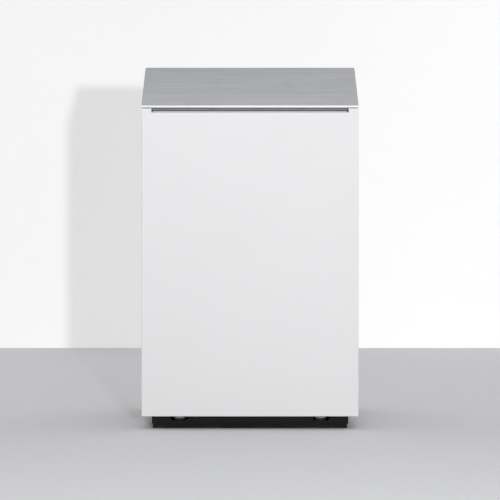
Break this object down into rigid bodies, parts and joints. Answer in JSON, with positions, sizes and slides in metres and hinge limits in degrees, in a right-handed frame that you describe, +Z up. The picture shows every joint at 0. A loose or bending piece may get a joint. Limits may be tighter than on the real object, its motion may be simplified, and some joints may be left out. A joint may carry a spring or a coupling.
{
  "type": "floor-standing heat pump",
  "caption": "Compact indoor brine-to-water heat pump: a white sheet-steel cabinet with a sloping brushed-steel control flap, lift-off front panel and black plinth on levelling feet.",
  "frame": {"origin": "on the floor under the middle of the machine, pipe stubs included", "axes": "+Z up, the front panel faces -Y, +X to the right as seen from the front"},
  "size_m": [0.65, 0.688, 1.103],
  "materials": {
    "white_enamel": "satin",
    "brushed_stainless": "satin",
    "black_enamel": "satin",
    "galvanised_sheet": "satin",
    "acoustic_foam": "matte",
    "zinc_fasteners": "satin",
    "mount_rubber": "matte",
    "compressor_enamel": "gloss",
    "lamination_steel": "matte",
    "cast_grey_iron": "matte",
    "ground_steel": "polished",
    "black_plastic": "matte",
    "plate_stainless": "satin",
    "closed_cell_foam": "matte",
    "copper_pipe": "satin",
    "green_enamel": "gloss",
    "yellow_brass": "satin",
    "motor_red": "satin",
    "white_vessel": "gloss",
    "red_vessel": "gloss",
    "heater_head": "matte",
    "light_grey_plastic": "satin",
    "circuit_board": "satin",
    "fascia_plastic": "matte",
    "display_glass": "gloss",
    "cable_sheath": "matte",
    "impeller_plastic": "matte",
    "knob_metal": "satin",
    "foot_steel_rubber": "matte",
    "cap_plastic": "satin"
  },
  "bodies": {
    "cabinet": {"left_side_panel": "white_enamel", "right_side_panel": "white_enamel", "rear_panel": "white_enamel", "top_cover": "white_enamel", "plinth_rails": "black_enamel", "base_pan": "galvanised_sheet", "frame_posts": "galvanised_sheet", "frame_rails": "galvanised_sheet", "flap_brackets": "galvanised_sheet", "compressor_tray": "galvanised_sheet", "switch_box": "galvanised_sheet", "acoustic_liners": "acoustic_foam", "casing_screws": "zinc_fasteners", "rubber_mounts": "mount_rubber", "compressor_shell": "compressor_enamel", "compressor_stator": "lamination_steel", "compressor_bearings": "cast_grey_iron", "fixed_scroll": "cast_grey_iron", "pump_housings": "cast_grey_iron", "terminal_box": "black_plastic", "contactors": "black_plastic", "cable_glands": "black_plastic", "condenser": "plate_stainless", "flow_heater": "plate_stainless", "evaporator": "closed_cell_foam", "suction_line": "copper_pipe", "discharge_line": "copper_pipe", "liquid_line": "copper_pipe", "brine_pipes": "copper_pipe", "heating_pipes": "copper_pipe", "filter_drier": "green_enamel", "expansion_valve": "yellow_brass", "safety_valves": "yellow_brass", "pump_motors": "motor_red", "brine_vessel": "white_vessel", "heating_vessel": "red_vessel", "heater_element": "heater_head", "breakers": "light_grey_plastic", "terminal_strip": "light_grey_plastic", "controller_board": "circuit_board", "control_fascia": "fascia_plastic", "display_window": "display_glass", "wiring": "cable_sheath"},
    "control_flap": {"control_flap": "white_enamel", "flap_skin": "brushed_stainless"},
    "front_panel": {"front_panel": "white_enamel", "front_liner": "acoustic_foam"},
    "crankshaft": {"crankshaft": "ground_steel"},
    "orbiting_scroll": {"orbiting_scroll": "cast_grey_iron"},
    "brine_impeller": {"brine_impeller": "impeller_plastic"},
    "heating_impeller": {"heating_impeller": "impeller_plastic"},
    "control_knob": {"control_knob": "knob_metal"},
    "back_key": {"back_key": "knob_metal"},
    "breaker_toggle": {"breaker_toggle": "black_plastic"},
    "foot_front_left": {"foot_front_left": "foot_steel_rubber"},
    "foot_front_right": {"foot_front_right": "foot_steel_rubber"},
    "foot_rear_left": {"foot_rear_left": "foot_steel_rubber"},
    "foot_rear_right": {"foot_rear_right": "foot_steel_rubber"},
    "heating_relief_cap": {"heating_relief_cap": "cap_plastic"},
    "brine_relief_cap": {"brine_relief_cap": "cap_plastic"}
  },
  "joints": [
    {"name": "flap_hinge", "type": "hinge", "parent": "cabinet", "child": "control_flap", "pos_m": [0, -0.15573, 1.09318], "axis": [-1, 0, 0], "range_deg": [0, 110]},
    {"name": "front_panel_off", "type": "slide", "parent": "cabinet", "child": "front_panel", "axis": [0, -1, 0], "range_m": [0, 0.35]},
    {"name": "crank_spin", "type": "hinge", "parent": "cabinet", "child": "crankshaft", "pos_m": [-0.15, -0.165, 0.25], "axis": [0, 0, 1], "continuous": true},
    {"name": "orbit_counter", "type": "hinge", "parent": "crankshaft", "child": "orbiting_scroll", "pos_m": [-0.1454, -0.165, 0.36], "axis": [0, 0, 1], "continuous": true},
    {"name": "brine_impeller_spin", "type": "hinge", "parent": "cabinet", "child": "brine_impeller", "pos_m": [0.216, 0, 0.72], "axis": [0, 1, 0], "continuous": true},
    {"name": "heating_impeller_spin", "type": "hinge", "parent": "cabinet", "child": "heating_impeller", "pos_m": [0.095, 0, 0.72], "axis": [0, 1, 0], "continuous": true},
    {"name": "knob_turn", "type": "hinge", "parent": "cabinet", "child": "control_knob", "pos_m": [0.11, -0.23867, 1.01831], "axis": [0, -0.5792, 0.8152], "continuous": true},
    {"name": "back_key_press", "type": "slide", "parent": "cabinet", "child": "back_key", "axis": [0, 0.5792, -0.8152], "range_m": [0, 0.002], "stiffness_N_per_m": 400, "springref_m": -0.002},
    {"name": "breaker_switch", "type": "hinge", "parent": "cabinet", "child": "breaker_toggle", "pos_m": [-0.235, -0.2523, 0.78], "axis": [1, 0, 0], "range_deg": [0, 70]},
    {"name": "foot_front_left_screw", "type": "slide", "parent": "cabinet", "child": "foot_front_left", "axis": [0, 0, -1], "range_m": [0, 0.012]},
    {"name": "foot_front_right_screw", "type": "slide", "parent": "cabinet", "child": "foot_front_right", "axis": [0, 0, -1], "range_m": [0, 0.012]},
    {"name": "foot_rear_left_screw", "type": "slide", "parent": "cabinet", "child": "foot_rear_left", "axis": [0, 0, -1], "range_m": [0, 0.012]},
    {"name": "foot_rear_right_screw", "type": "slide", "parent": "cabinet", "child": "foot_rear_right", "axis": [0, 0, -1], "range_m": [0, 0.012]},
    {"name": "heating_relief_turn", "type": "hinge", "parent": "cabinet", "child": "heating_relief_cap", "pos_m": [-0.01, 0.2, 1.01], "axis": [0, 0, 1], "range_deg": [0, 90]},
    {"name": "brine_relief_turn", "type": "hinge", "parent": "cabinet", "child": "brine_relief_cap", "pos_m": [0.216, 0.2, 1.01], "axis": [0, 0, 1], "range_deg": [0, 90]}
  ],
  "couplings": [
    {"joint": "orbit_counter", "follows": "crank_spin", "ratio": -1}
  ]
}
